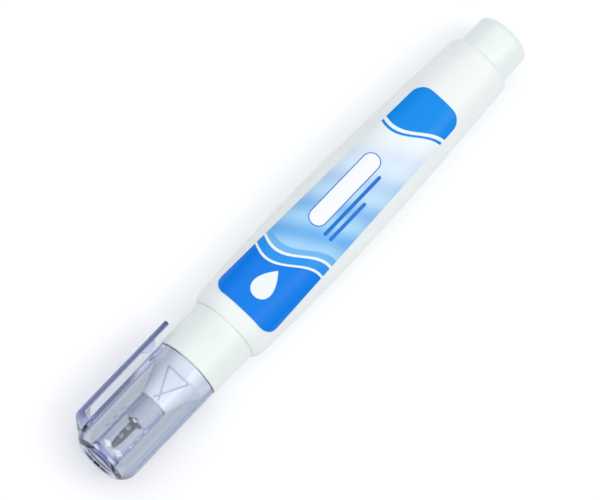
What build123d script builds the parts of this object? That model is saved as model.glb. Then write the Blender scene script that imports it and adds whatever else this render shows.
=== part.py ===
from build123d import *
import math
import os

# Correction pen: a squeeze barrel with a sprung needle valve at its nose, under a clear push-on cap.
# Sizes are millimetres. The pieces are drawn with X along the pen from the cap to the tail, zero at the
# collar face that stops the cap, Y towards the pocket clip and Z towards the label.
# At the end everything moves to the bottom centre of the pen's own box, so it lies label up on Z = 0.

# Clearances between pieces
CAP_FIT = 0.05              # round the cap seat, a light push fit
TUBE_FIT = 0.08             # round the spigot inside the cap's sealing tube
PRESS_FIT = 0.03            # round pieces that are pressed together for good
SEAT_GAP = 0.05             # between end faces that meet and can part again
ROOT_GAP = 0.05             # between the clip's root and the cap, so that the clip can flex
POST_FIT = 0.3              # round the tail plug, when the cap is put on the tail

# Cap
CAP_DIAMETER = 16.1
CAP_WALL = 1.1
CAP_END_DIAMETER = 10.9     # flat disc on the closed end
CAP_SHOULDER_LENGTH = 4.2   # rounded stretch between that disc and the straight side
CAP_END_WALL = 1.3          # closed end, round the sealing tube
CAP_FLOOR_WALL = 3.0        # closed end, inside the tube
CAP_DISH_DIAMETER = 8.6     # shallow dish in the closed end
CAP_DISH_DEPTH = 0.5
CAP_LEAD_IN = 0.15          # chamfer inside the mouth
TUBE_WALL = 0.82            # sealing tube that stands inside the cap
TIP_ROOM = 1.6              # between the needle's point and the closed end

# Grip pips and arrow mark raised on the cap's label side
PIP_DIAMETER = 1.1
PIP_HEIGHT = 0.25
PIP_PITCH = 2.4             # along the cap
PIP_ANGLE = 25.5            # degrees from row to row round the cap
PIP_INSET = 6.4             # from the closed end to the first column
PIP_ROWS = 3
PIP_COLUMNS = 3
ARROW_LENGTH = 6.1
ARROW_WIDTH = 6.0
ARROW_LINE = 0.4
ARROW_HEIGHT = 0.18
ARROW_TAIL = 1.2            # how far the two sides run on past the point
ARROW_INSET = 4.0           # from the cap's mouth to the base of the arrow

# Pocket clip
CLIP_WIDTH = 5.0
CLIP_THICKNESS = 1.27
CLIP_GAP = 1.57             # between the clip and the cap
CLIP_PINCH = 0.3            # gap left under the clip's bump
CLIP_OVERHANG = 4.2         # past the cap's mouth
CLIP_ROOT_INSET = 2.2       # from the closed end to the root
CLIP_ROOT_LENGTH = 2.9
CLIP_LEAN = 2.0             # how far the leg leans towards the mouth as it rises
CLIP_BEND_RADIUS = 1.6
CLIP_TIP_RADIUS = 0.35
CLIP_BUMP_LENGTH = 4.2
CLIP_BUMP_INSET = 2.4       # from the cap's mouth back to the middle of the bump
WEB_LENGTH = 3.6            # thin web in the corner behind the leg
WEB_THICKNESS = 1.4

# Metal tip and needle valve
NEEDLE_POINT_DIAMETER = 0.76
NEEDLE_SHANK_DIAMETER = 1.0
NEEDLE_PROTRUSION = 0.4     # past the orifice, when closed
NEEDLE_TRAVEL = 0.6
NEEDLE_CHAMFER = 0.15
ORIFICE_GAP = 0.06          # round the needle's point
ORIFICE_LENGTH = 0.7
ORIFICE_LIP = 0.15          # wall left at the very front
VALVE_CONE_LENGTH = 0.5
FLOW_GAP = 0.15             # round the needle's shank
NOZZLE_WALL = 0.375
NOZZLE_CONE_LENGTH = 2.1
NOZZLE_LENGTH = 5.0         # straight stretch in front of the spigot
TIP_FLANGE_LENGTH = 0.5
TIP_FLANGE_STEP = 0.25      # how far the flange stands out over the pressed-in shank
TIP_SHANK_DIAMETER = 3.2
TIP_SHANK_LENGTH = 5.0
NEEDLE_FLANGE_GAP = 0.25    # between the tip's shank and the needle's flange
NEEDLE_FLANGE_LENGTH = 0.8
GUIDE_ROOM = 0.25           # between the needle's tail and the inside of the spring
GUIDE_MARGIN = 1.5          # between the needle's tail, pushed fully in, and the retainer
SPRING_WIRE = 0.3
SPRING_COIL_DIAMETER = 2.4  # at the middle of the wire
SPRING_LENGTH = 8.5
SPRING_TURNS = 10
SPRING_ROOM = 0.4           # round the spring
RETAINER_STEP = 0.9         # how far the retainer is wider than the spring's bore
RETAINER_LENGTH = 4.0
RETAINER_HOLE_DIAMETER = 1.8

# Front section: spigot, flared nose, cap seat, collar and the skirt inside the barrel
SPIGOT_WALL = 1.15
SPIGOT_LENGTH = 5.9
SPIGOT_CHAMFER = 0.4
FLARE_LENGTH = 7.9
FLARE_SAG = 0.35            # hollow of the nose's concave flare
CAP_SEAT_LENGTH = 3.3
CAP_SEAT_STEP = 0.25        # from the flare up to the seat
COLLAR_LENGTH = 12.2
COLLAR_PROUD = 0.15         # how far the collar stands out past the cap
COLLAR_DRAFT = 0.1          # growth of its radius towards the barrel
COLLAR_EDGE = 0.2
SKIRT_LENGTH = 7.5
SKIRT_WALL = 1.1
NECK_WALL = 1.4             # from the skirt out to the collar's radius

# Barrel
BARREL_LENGTH = 85.6
BARREL_WALL = 1.2
SHOULDER_LENGTH = 4.2
SHOULDER_LIP = 0.05         # how far the barrel starts outside the collar
WIDTH_RISE = 1.5            # from the collar out to the barrel's side, behind the shoulder
DEPTH_RISE = 0.2            # from the collar out to its label face
BELLY_BULGE = 0.48          # further growth of its side at the widest place
BELLY_INSET = 28.9          # from the barrel's front to the widest place
FACE_ANGLE = 86.0           # degrees; where an oval section's side arcs meet its flatter faces
TAPER_POWER = 1.75
TAIL_WALL = 1.45
TAIL_EDGE = 0.9

# Tail plug
PLUG_SHOULDER = 0.2         # step that stops the plug against the barrel's end
PLUG_WALL = 1.3
PLUG_DEPTH = 8.5            # inside the barrel
TAIL_LENGTH = 8.9           # past the barrel
PLUG_EDGE = 1.8
PLUG_CHAMFER = 0.5
BEAD_HEIGHT = 0.2           # snap beads on the plug and on the front section's skirt
BEAD_WIDTH = 1.2

# Printed film label
LABEL_FILM = 0.1
LABEL_GLUE = 0.05           # adhesive layer that holds the film off the barrel
LABEL_MARGIN = 0.1          # from the shoulder to the label
LABEL_LENGTH = 66.7
LABEL_FRONT_WIDTH = 17.1
LABEL_TAIL_WIDTH = 12.6
LABEL_CORNER = 3.0

# Mixing ball
BALL_DIAMETER = 5.5
BALL_GAP = 0.15             # least gap under the ball along its run
BALL_REST = 9.0             # from the front of its run to where it lies

# How many sections the barrel's curves are drawn through
BODY_SECTIONS = 9
SHOULDER_SECTIONS = 5

# Radii, each from the piece that it fits
needle_radius = NEEDLE_SHANK_DIAMETER / 2
point_radius = NEEDLE_POINT_DIAMETER / 2
orifice_radius = point_radius + ORIFICE_GAP
nozzle_bore = needle_radius + FLOW_GAP
nozzle_radius = nozzle_bore + NOZZLE_WALL
shank_radius = TIP_SHANK_DIAMETER / 2
spring_radius = (SPRING_COIL_DIAMETER + SPRING_WIRE) / 2
spring_bore = spring_radius + SPRING_ROOM
guide_radius = spring_radius - SPRING_WIRE - GUIDE_ROOM
retainer_radius = spring_bore + RETAINER_STEP
spigot_radius = shank_radius + SPIGOT_WALL
tube_bore = spigot_radius + TUBE_FIT
tube_radius = tube_bore + TUBE_WALL
cap_radius = CAP_DIAMETER / 2
cap_bore = cap_radius - CAP_WALL
seat_radius = cap_bore - CAP_FIT
collar_front_radius = cap_radius + COLLAR_PROUD
collar_radius = collar_front_radius + COLLAR_DRAFT
neck_bore = collar_radius - NECK_WALL
skirt_radius = neck_bore - PRESS_FIT
plug_radius = cap_bore - POST_FIT
land_radius = plug_radius - PLUG_SHOULDER
tail_bore = land_radius + PRESS_FIT
tail_radius = tail_bore + TAIL_WALL
ball_radius = BALL_DIAMETER / 2
clip_inner = cap_radius + CLIP_GAP
clip_outer = clip_inner + CLIP_THICKNESS
clip_bump_height = CLIP_GAP - CLIP_PINCH

# Places along the pen, forwards and backwards from the collar face
cap_mouth_x = -SEAT_GAP
seat_x = -CAP_SEAT_LENGTH
flare_x = seat_x - FLARE_LENGTH
spigot_x = flare_x - SPIGOT_LENGTH
nozzle_x = spigot_x - NOZZLE_LENGTH
orifice_x = nozzle_x - NOZZLE_CONE_LENGTH
needle_x = orifice_x - NEEDLE_PROTRUSION
cap_floor_x = needle_x - TIP_ROOM
cap_end_x = cap_floor_x - CAP_FLOOR_WALL
tube_mouth_x = flare_x - SEAT_GAP
valve_cone_x = orifice_x + ORIFICE_LENGTH
shank_end_x = spigot_x + TIP_SHANK_LENGTH
needle_flange_x = shank_end_x + NEEDLE_FLANGE_GAP
spring_x = needle_flange_x + NEEDLE_FLANGE_LENGTH + SEAT_GAP
spring_end_x = spring_x + SPRING_LENGTH
retainer_x = spring_end_x + SEAT_GAP
retainer_end_x = retainer_x + RETAINER_LENGTH
needle_end_x = retainer_x - GUIDE_MARGIN - NEEDLE_TRAVEL
barrel_x = COLLAR_LENGTH
shoulder_x = barrel_x + SHOULDER_LENGTH
skirt_end_x = barrel_x + SKIRT_LENGTH
belly_x = barrel_x + BELLY_INSET
tail_x = barrel_x + BARREL_LENGTH
plug_front_x = tail_x - PLUG_DEPTH
pen_end_x = tail_x + TAIL_LENGTH
skirt_bead_x = (barrel_x + skirt_end_x) / 2
plug_bead_x = (plug_front_x + tail_x) / 2
label_x = shoulder_x + LABEL_MARGIN
label_end_x = label_x + LABEL_LENGTH
clip_bump_x = cap_mouth_x - CLIP_BUMP_INSET
clip_tip_x = cap_mouth_x + CLIP_OVERHANG
clip_root_x = cap_end_x + CLIP_ROOT_INSET
clip_root_end_x = clip_root_x + CLIP_ROOT_LENGTH
ball_first_x = skirt_end_x + ball_radius + BALL_GAP
ball_last_x = plug_front_x - ball_radius - BALL_GAP
ball_x = ball_first_x + BALL_REST


def turned(*edges):
    """Solid made by turning a closed outline in the XY plane about the pen's axis."""
    return revolve(make_face(edges), Axis.X)


def rod(start_x, end_x, radius):
    """Plain round bar on the pen's axis."""
    corners = ((start_x, 0), (start_x, radius), (end_x, radius), (end_x, 0))
    return turned(Polyline(*corners, close=True))


def bead(middle_x, radius):
    """Round snap bead that stands BEAD_HEIGHT out of a cylinder of the given radius."""
    front = (middle_x - BEAD_WIDTH / 2, radius)
    crest = (middle_x, radius + BEAD_HEIGHT)
    back = (middle_x + BEAD_WIDTH / 2, radius)
    foot = radius - BEAD_HEIGHT
    outline = Polyline(back, (back[0], foot), (front[0], foot), front)
    return turned(ThreePointArc(front, crest, back), outline)


def cap_form(grow=0.0):
    """Outer form of the cap: a straight side, a rounded shoulder and a flat end disc."""
    end = (cap_end_x, CAP_END_DIAMETER / 2 + grow)
    shoulder = (cap_end_x + CAP_SHOULDER_LENGTH, cap_radius + grow)
    return turned(
        Polyline((cap_mouth_x, 0), (cap_end_x, 0), end),
        TangentArc(shoulder, end, tangent=(-1, 0)),
        Polyline(shoulder, (cap_mouth_x, cap_radius + grow), (cap_mouth_x, 0)),
    )


def cap_hollow():
    """Space inside the cap: round the sealing tube, inside it, and the dish in the closed end."""
    end_wall = rod(cap_end_x, cap_end_x + CAP_END_WALL, cap_radius)
    tube = rod(cap_end_x, tube_mouth_x, tube_radius)
    around_tube = cap_form(-CAP_WALL) - end_wall - tube
    inside_tube = rod(cap_floor_x, tube_mouth_x, tube_bore)
    lead_x = cap_mouth_x - CAP_LEAD_IN
    lead_in = Polyline(
        (lead_x, 0),
        (lead_x, cap_bore),
        (cap_mouth_x, cap_bore + CAP_LEAD_IN),
        (cap_mouth_x, 0),
        close=True,
    )
    dish_radius = CAP_DISH_DIAMETER / 2
    dish = Polyline(
        (cap_end_x, 0),
        (cap_end_x, dish_radius),
        (cap_end_x + CAP_DISH_DEPTH, dish_radius - CAP_DISH_DEPTH),
        (cap_end_x + CAP_DISH_DEPTH, 0),
        close=True,
    )
    return around_tube + inside_tube + turned(lead_in) + turned(dish)


def grip_pips():
    """Rows of low domes on the label side of the cap, near its closed end."""
    dome = (PIP_DIAMETER**2 / 4 + PIP_HEIGHT**2) / (2 * PIP_HEIGHT)
    pips = Part()
    for row in range(PIP_ROWS):
        turn = Rot(X=(row - (PIP_ROWS - 1) / 2) * PIP_ANGLE)
        for column in range(PIP_COLUMNS):
            x = cap_end_x + PIP_INSET + column * PIP_PITCH
            pips += turn * Pos(x, 0, cap_radius + PIP_HEIGHT - dome) * Sphere(dome)
    return pips


def arrow_mark():
    """Raised line triangle that points to the closed end, with its two sides crossing at the point."""
    base_x = cap_mouth_x - ARROW_INSET
    point_x = base_x - ARROW_LENGTH
    half = ARROW_WIDTH / 2
    tail_half = half * ARROW_TAIL / ARROW_LENGTH
    lines = [
        Line((base_x, -half), (base_x, half)),
        Line((base_x, -half), (point_x - ARROW_TAIL, tail_half)),
        Line((base_x, half), (point_x - ARROW_TAIL, -tail_half)),
    ]
    bars = extrude(trace(lines, line_width=ARROW_LINE), amount=cap_radius + ARROW_WIDTH)
    skin = Polyline(
        (point_x - ARROW_WIDTH, cap_bore),
        (point_x - ARROW_WIDTH, cap_radius + ARROW_HEIGHT),
        (cap_mouth_x, cap_radius + ARROW_HEIGHT),
        (cap_mouth_x, cap_bore),
        close=True,
    )
    return bars & turned(skin)


def make_cap_shell():
    return cap_form() + arrow_mark() + grip_pips() - cap_hollow()


def make_pocket_clip():
    """Flat spring clip on the side of the cap, its foot cut to the cap's round shoulder."""
    sunk = cap_radius - CAP_WALL
    outline = FilletPolyline(
        (clip_root_x, sunk),
        (clip_root_x, cap_radius),
        (clip_root_x + CLIP_LEAN, clip_outer),
        (clip_tip_x, clip_outer),
        (clip_tip_x, clip_inner),
        (clip_root_end_x + CLIP_LEAN / 4, clip_inner),
        (clip_root_end_x, sunk),
        radius=(
            CLIP_BEND_RADIUS,
            CLIP_BEND_RADIUS,
            CLIP_TIP_RADIUS,
            CLIP_TIP_RADIUS,
            CLIP_BEND_RADIUS / 2,
        ),
    )
    foot = Line((clip_root_end_x, sunk), (clip_root_x, sunk))
    strip = extrude(make_face([outline, foot]), amount=CLIP_WIDTH / 2, both=True)

    web_root = (clip_root_end_x - CLIP_ROOT_LENGTH / 2, sunk)
    web_top = (clip_root_end_x + WEB_LENGTH, clip_inner)
    web_edge = TangentArc(web_top, (clip_root_end_x + CLIP_LEAN / 2, sunk), tangent=(-1, 0))
    web_back = Polyline(web_edge @ 1, web_root, (web_root[0], clip_inner), web_top)
    web = extrude(make_face([web_edge, web_back]), amount=WEB_THICKNESS / 2, both=True)

    dome = (CLIP_BUMP_LENGTH**2 / 4 + clip_bump_height**2) / (2 * clip_bump_height)
    ball = Pos(clip_bump_x, clip_inner - clip_bump_height + dome, 0) * Sphere(dome)
    under = Pos(clip_bump_x, clip_inner + CLIP_THICKNESS / 2, 0) * Box(
        CLIP_BUMP_LENGTH + CLIP_WIDTH,
        2 * CLIP_GAP + CLIP_THICKNESS,
        CLIP_WIDTH,
        align=(Align.CENTER, Align.MAX, Align.CENTER),
    )
    return strip + web + (ball & under) - cap_form(ROOT_GAP)


def make_front_section():
    """Collar, cap seat, flared nose and spigot in one moulding, with a skirt pressed into the barrel."""
    flare_top = (seat_x, seat_radius - CAP_SEAT_STEP)
    flare_foot = (flare_x, tube_radius)
    cavity = skirt_radius - SKIRT_WALL
    nose = Polyline(
        (spigot_x, shank_radius + PRESS_FIT),
        (spigot_x, spigot_radius - SPIGOT_CHAMFER),
        (spigot_x + SPIGOT_CHAMFER, spigot_radius),
        (flare_x, spigot_radius),
        flare_foot,
    )
    flare = SagittaArc(flare_foot, flare_top, -FLARE_SAG)
    rest = Polyline(
        flare_top,
        (seat_x, seat_radius - CAP_SEAT_STEP / 2),
        (seat_x + CAP_SEAT_STEP / 2, seat_radius),
        (0, seat_radius),
        (0, collar_front_radius - COLLAR_EDGE),
        (COLLAR_EDGE, collar_front_radius),
        (barrel_x, collar_radius),
        (barrel_x, skirt_radius),
        (skirt_end_x, skirt_radius),
        (skirt_end_x, cavity),
        (retainer_end_x, cavity),
        (retainer_end_x, retainer_radius + PRESS_FIT),
        (retainer_x, retainer_radius + PRESS_FIT),
        (retainer_x, spring_bore),
        (shank_end_x, spring_bore),
        (shank_end_x, shank_radius + PRESS_FIT),
        (spigot_x, shank_radius + PRESS_FIT),
    )
    return turned(nose, flare, rest) + bead(skirt_bead_x, skirt_radius)


def make_metal_tip():
    """Nozzle with a straight neck, a cone at its point and a shank pressed into the spigot."""
    flange_x = spigot_x - TIP_FLANGE_LENGTH
    outline = Polyline(
        (orifice_x, orifice_radius),
        (orifice_x, orifice_radius + ORIFICE_LIP),
        (nozzle_x, nozzle_radius),
        (flange_x, nozzle_radius),
        (flange_x, shank_radius + TIP_FLANGE_STEP),
        (spigot_x, shank_radius + TIP_FLANGE_STEP),
        (spigot_x, shank_radius),
        (shank_end_x, shank_radius),
        (shank_end_x, nozzle_bore),
        (valve_cone_x + VALVE_CONE_LENGTH, nozzle_bore),
        (valve_cone_x, orifice_radius),
        close=True,
    )
    return turned(outline)


def make_valve_needle():
    """Pin that closes the orifice from inside, with a flange for the spring and a tail that guides it."""
    cone_x = valve_cone_x + SEAT_GAP
    outline = Polyline(
        (needle_x, 0),
        (needle_x, point_radius - NEEDLE_CHAMFER),
        (needle_x + NEEDLE_CHAMFER, point_radius),
        (cone_x, point_radius),
        (cone_x + VALVE_CONE_LENGTH, needle_radius),
        (needle_flange_x, needle_radius),
        (needle_flange_x, spring_radius),
        (needle_flange_x + NEEDLE_FLANGE_LENGTH, spring_radius),
        (needle_flange_x + NEEDLE_FLANGE_LENGTH, guide_radius),
        (needle_end_x, guide_radius),
        (needle_end_x, 0),
        close=True,
    )
    return turned(outline)


def spring_point(turn):
    """Middle of the spring's wire after so many turns, and the direction in which it runs on."""
    radius = SPRING_COIL_DIAMETER / 2
    pitch = (SPRING_LENGTH - SPRING_WIRE) / SPRING_TURNS
    angle = 2 * math.pi * turn
    x = spring_x + SPRING_WIRE / 2 + pitch * turn
    point = Vector(x, radius * math.cos(angle), radius * math.sin(angle))
    along = Vector(pitch / (2 * math.pi), -radius * math.sin(angle), radius * math.cos(angle))
    return point, along.normalized()


def two_arcs(start, start_way, end, end_way):
    """Two arcs that run from start to end, tangent to each other and to both given directions."""
    chord = end - start
    ways = start_way + end_way
    spread = 2 * (1 - start_way.dot(end_way))
    reach = (math.sqrt(chord.dot(ways) ** 2 + spread * chord.dot(chord)) - chord.dot(ways)) / spread
    middle = (start + end + (start_way - end_way) * reach) * 0.5
    middle_way = middle - (start + start_way * reach)
    first = Edge.make_tangent_arc(start, start_way, middle)
    second = Edge.make_tangent_arc(middle, middle_way, end)
    return [first, second]


def make_valve_spring():
    """Coil of round wire, swept along arcs of an eighth of a turn."""
    quarters = 4 * SPRING_TURNS
    stations = [spring_point(index / 4) for index in range(quarters + 1)]
    arcs = []
    for (start, start_way), (end, end_way) in zip(stations, stations[1:]):
        arcs += two_arcs(start, start_way, end, end_way)
    start, start_way = stations[0]
    section = Plane(origin=start, z_dir=start_way) * Circle(SPRING_WIRE / 2)
    return sweep(section, path=Wire(arcs))


def spring_self_gap():
    """Least gap between neighbouring turns of the spring, measured on points along the wire."""
    steps_per_turn = 48
    steps = SPRING_TURNS * steps_per_turn
    points = [spring_point(step / steps_per_turn)[0] for step in range(steps + 1)]
    far_enough = steps_per_turn // 2
    nearest = min(
        (points[first] - points[second]).length
        for first in range(len(points))
        for second in range(first + far_enough, len(points))
    )
    return nearest - SPRING_WIRE


def make_spring_retainer():
    """Bush with a feed hole, pressed in behind the spring."""
    hole = RETAINER_HOLE_DIAMETER / 2
    outline = Polyline(
        (retainer_x, hole),
        (retainer_x, retainer_radius),
        (retainer_end_x, retainer_radius),
        (retainer_end_x, hole),
        close=True,
    )
    return turned(outline)


def tapered(x, front, belly, tail):
    """Half size of the barrel at x: from front up to belly at its widest place, then down to tail."""
    if x < belly_x:
        share = (belly_x - x) / (belly_x - shoulder_x)
        return belly - (belly - front) * share**2
    share = (x - belly_x) / (tail_x - belly_x)
    return belly - (belly - tail) * share**TAPER_POWER


def half_width(x):
    front = collar_radius + WIDTH_RISE
    return tapered(x, front, front + BELLY_BULGE, tail_radius)


def half_depth(x):
    face = collar_radius + DEPTH_RISE
    return tapered(x, face, face, tail_radius)


def oval(x, width, depth):
    """Oval face across the pen: two side arcs and two flatter arcs, tangent where they meet."""
    angle = math.radians(FACE_ANGLE)
    spread = (width - depth) / (math.sin(angle) + math.cos(angle) - 1)
    side_radius = width - spread * math.cos(angle)
    corner_y = width - side_radius + side_radius * math.cos(angle)
    corner_z = side_radius * math.sin(angle)
    above = ((x, corner_y, corner_z), (x, -corner_y, corner_z))
    below = ((x, -corner_y, -corner_z), (x, corner_y, -corner_z))
    arcs = [
        ThreePointArc(above[0], (x, 0, depth), above[1]),
        ThreePointArc(above[1], (x, -width, 0), below[0]),
        ThreePointArc(below[0], (x, 0, -depth), below[1]),
        ThreePointArc(below[1], (x, width, 0), above[0]),
    ]
    return make_face(arcs)


def oval_body(start_x, end_x, grow=0.0):
    """Stretch of the barrel's form between two places, made larger by grow all round."""
    step = (end_x - start_x) / (BODY_SECTIONS - 1)
    stations = [start_x + step * index for index in range(BODY_SECTIONS)]
    return loft([oval(x, half_width(x) + grow, half_depth(x) + grow) for x in stations])


def shoulder_form():
    """Rounded shoulder from the collar's circle out to the oval body, a quarter ellipse in profile."""
    start = collar_radius + SHOULDER_LIP
    width_growth = half_width(shoulder_x) - start
    depth_growth = half_depth(shoulder_x) - start
    sections = []
    for index in range(SHOULDER_SECTIONS):
        angle = math.pi / 2 * index / (SHOULDER_SECTIONS - 1)
        x = shoulder_x - SHOULDER_LENGTH * math.cos(angle)
        rise = math.sin(angle)
        sections.append(oval(x, start + width_growth * rise, start + depth_growth * rise))
    return loft(sections)


def make_barrel():
    body = oval_body(shoulder_x, tail_x)
    body = fillet(body.faces().sort_by(Axis.X)[-1].edges(), TAIL_EDGE)
    neck = rod(barrel_x, skirt_end_x, neck_bore)
    mouth = rod(plug_front_x, tail_x, tail_bore)
    grooves = bead(skirt_bead_x, neck_bore) + bead(plug_bead_x, tail_bore)
    chamber = oval_body(skirt_end_x, plug_front_x, -BARREL_WALL)
    return body + shoulder_form() - chamber - neck - mouth - grooves


def make_front_label():
    """Thin film on the barrel's label face, narrower towards the tail, with rounded corners."""
    outline = make_face(
        Polyline(
            (label_x, -LABEL_FRONT_WIDTH / 2),
            (label_end_x, -LABEL_TAIL_WIDTH / 2),
            (label_end_x, LABEL_TAIL_WIDTH / 2),
            (label_x, LABEL_FRONT_WIDTH / 2),
            close=True,
        )
    )
    outline = fillet(outline.vertices(), LABEL_CORNER)
    block = extrude(outline, amount=BARREL_LENGTH)
    outside = oval_body(shoulder_x, tail_x, LABEL_GLUE + LABEL_FILM)
    inside = oval_body(shoulder_x, tail_x, LABEL_GLUE)
    return (outside - inside) & block


def make_tail_plug():
    """Cup pressed into the barrel's open tail, closed and rounded at the end that shows."""
    bore = plug_radius - PLUG_WALL
    edge_start = (pen_end_x - PLUG_EDGE, plug_radius)
    edge_end = (pen_end_x, plug_radius - PLUG_EDGE)
    side = Polyline(
        (plug_front_x, bore),
        (plug_front_x, land_radius - PLUG_CHAMFER),
        (plug_front_x + PLUG_CHAMFER, land_radius),
        (tail_x, land_radius),
        (tail_x, plug_radius),
        edge_start,
    )
    edge = TangentArc(edge_start, edge_end, tangent=(1, 0))
    inside = Polyline(
        edge_end,
        (pen_end_x, 0),
        (pen_end_x - PLUG_WALL, 0),
        (pen_end_x - PLUG_WALL, bore),
        (plug_front_x, bore),
    )
    return turned(side, edge, inside) + bead(plug_bead_x, land_radius)


def make_mixing_ball():
    """Loose steel ball that lies on the floor of the chamber, with room under it along its whole run."""
    lowest_floor = min(half_depth(ball_first_x), half_depth(ball_last_x)) - BARREL_WALL
    return Pos(ball_x, 0, ball_radius + BALL_GAP - lowest_floor) * Sphere(ball_radius)


pieces = {
    "barrel": make_barrel(),
    "front_label": make_front_label(),
    "front_section": make_front_section(),
    "metal_tip": make_metal_tip(),
    "valve_needle": make_valve_needle(),
    "valve_spring": make_valve_spring(),
    "spring_retainer": make_spring_retainer(),
    "mixing_ball": make_mixing_ball(),
    "tail_plug": make_tail_plug(),
    "cap_shell": make_cap_shell(),
    "pocket_clip": make_pocket_clip(),
}

box = Compound([solid for piece in pieces.values() for solid in piece.solids()]).bounding_box()
home = Pos(-box.center().X, -box.center().Y, -box.min.Z)

os.makedirs("parts", exist_ok=True)
for name, piece in pieces.items():
    export_step(home * piece, f"parts/{name}.step")

print("overall size", [round(size, 2) for size in box.size])
print("pen axis at", [round(shift, 4) for shift in home.position])
print("least gap between turns of the spring", round(spring_self_gap(), 3))
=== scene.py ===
import math

import bmesh
import bpy
from mathutils import Matrix, Vector


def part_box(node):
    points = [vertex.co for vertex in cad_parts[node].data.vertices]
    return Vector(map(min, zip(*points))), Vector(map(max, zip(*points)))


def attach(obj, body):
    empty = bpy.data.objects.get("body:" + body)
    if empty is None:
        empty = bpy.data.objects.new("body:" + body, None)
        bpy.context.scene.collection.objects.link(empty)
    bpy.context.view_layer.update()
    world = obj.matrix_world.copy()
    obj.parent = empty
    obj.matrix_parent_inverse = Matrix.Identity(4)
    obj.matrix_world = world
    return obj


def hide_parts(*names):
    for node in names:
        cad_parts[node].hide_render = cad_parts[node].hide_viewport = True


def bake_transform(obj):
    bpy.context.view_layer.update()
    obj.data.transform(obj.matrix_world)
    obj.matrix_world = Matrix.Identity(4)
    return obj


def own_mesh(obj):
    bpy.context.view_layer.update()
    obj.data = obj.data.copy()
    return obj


# A correction pen lying label up on a white table: squeeze barrel, printed film label, collar and nose,
# metal tip, tail plug, and a clear cap moulded in one with its pocket clip.
# Metres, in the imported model's own frame: X from the cap to the tail, Y to the clip, Z up to the label.
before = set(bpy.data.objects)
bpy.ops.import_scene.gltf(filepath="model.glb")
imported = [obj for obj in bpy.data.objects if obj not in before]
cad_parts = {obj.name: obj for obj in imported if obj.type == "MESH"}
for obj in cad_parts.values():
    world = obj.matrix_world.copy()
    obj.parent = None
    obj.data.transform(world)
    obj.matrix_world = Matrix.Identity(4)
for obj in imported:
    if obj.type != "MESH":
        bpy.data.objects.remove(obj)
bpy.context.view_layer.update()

MM = 0.001

# Boxes of the pieces and the pen's axis, from the frame
front_low, front_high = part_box("front_section")
barrel_low, barrel_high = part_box("barrel")
plug_low, plug_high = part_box("tail_plug")
tip_low, tip_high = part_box("metal_tip")
label_low, label_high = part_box("front_label")
cap_low, cap_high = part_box("cap_shell")
clip_low, clip_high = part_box("pocket_clip")
spring_low, spring_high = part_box("valve_spring")
axis_y = (front_low.y + front_high.y) / 2
axis_z = (front_low.z + front_high.z) / 2

# Fits between the pieces
CAP_FIT = 0.05 * MM  # round the seat, in the cap's mouth
TUBE_FIT = 0.08 * MM  # round the spigot, in the sealing tube
PRESS_FIT = 0.03 * MM  # round what is pressed in for good
POST_FIT = 0.3 * MM  # round the tail plug, when the cap is put on it
SEAT_GAP = 0.05 * MM  # from the sealing tube's end to the nose

# Rounded edges that several pieces share
SOFT_EDGE = 0.15 * MM
FINE_EDGE = 0.1 * MM
KEEN_EDGE = 0.04 * MM

# Cap
CAP_RADIUS = 8.05 * MM
CAP_WALL = 1.1 * MM
CAP_LEAD_IN = 0.12 * MM  # bevel inside the mouth
CAP_MOUTH_EDGE = 0.12 * MM
CAP_END_RADIUS = 5.45 * MM  # where the closed end goes over into the shoulder
CAP_END_EDGE = 0.3 * MM
CAP_SHOULDER = 4.2 * MM  # rounded stretch between the closed end and the straight side
CAP_FLOOR = 3.0 * MM  # thickness of the closed end inside the sealing tube
CAP_END_WALL = 1.3 * MM  # and round the tube, where the wall follows the shoulder
DISH_RADIUS = 4.3 * MM  # shallow dish in the closed end
DISH_DEPTH = 0.5 * MM
DISH_EDGE = 0.25 * MM
DISH_FLOOR_EDGE = 0.3 * MM
TUBE_WALL = 0.82 * MM  # sealing tube that stands inside the cap
TUBE_ROOT_EDGE = 0.4 * MM
TUBE_FLOOR_EDGE = 0.5 * MM

# Grip pips and arrow raised on the cap's label side
PIP_RADIUS = 0.55 * MM
PIP_HEIGHT = 0.25 * MM
PIP_PITCH = 2.4 * MM  # along the cap
PIP_INSET = 6.4 * MM  # from the closed end to the first column
PIP_TURN = math.radians(25.5)
PIP_ROWS = (-1, 0, 1)  # in multiples of that turn from the label side
PIP_COLUMNS = 3
PIP_MARGIN = 0.8 * MM  # finely cut stretch at both ends of the pips
ARROW_LENGTH = 6.1 * MM
ARROW_HALF = 3.0 * MM  # half its width
ARROW_LINE = 0.4 * MM
ARROW_HEIGHT = 0.18 * MM
ARROW_TAIL = 1.2 * MM  # how far the two sides run on past the point
ARROW_INSET = 4.0 * MM  # from the mouth to its base
ARROW_MARGIN = 0.5 * MM  # finely cut stretch at both ends of the arrow

# Pocket clip
CLIP_THICKNESS = 1.27 * MM
CLIP_GAP = 1.57 * MM  # between the clip and the cap
CLIP_PINCH = 0.3 * MM  # gap left under the bump
CLIP_ROOT_LENGTH = 2.9 * MM
CLIP_ROOT_REACH = 0.05 * MM  # how far the root goes through the cap's wall, so that they fuse
CLIP_HEEL = 0.55 * MM  # by which the root's foot slopes outwards, towards the mouth
CLIP_LEAN = 2.0 * MM  # how far the leg leans towards the mouth as it rises
CLIP_BEND = 1.6 * MM
CLIP_TIP = 0.35 * MM
CLIP_EDGE = 0.34 * MM
BUMP_RADIUS = 2.1 * MM
BUMP_INSET = 2.4 * MM  # from the mouth back to the middle of the bump
WEB_LENGTH = 3.6 * MM  # thin web in the corner behind the leg
WEB_THICKNESS = 1.4 * MM
WEB_SWEEP = math.radians(80)
OVERLAP = 0.4 * MM  # how far joined forms reach into each other before they are fused
HAIR = 0.001 * MM  # keeps the clip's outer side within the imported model's box

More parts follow.
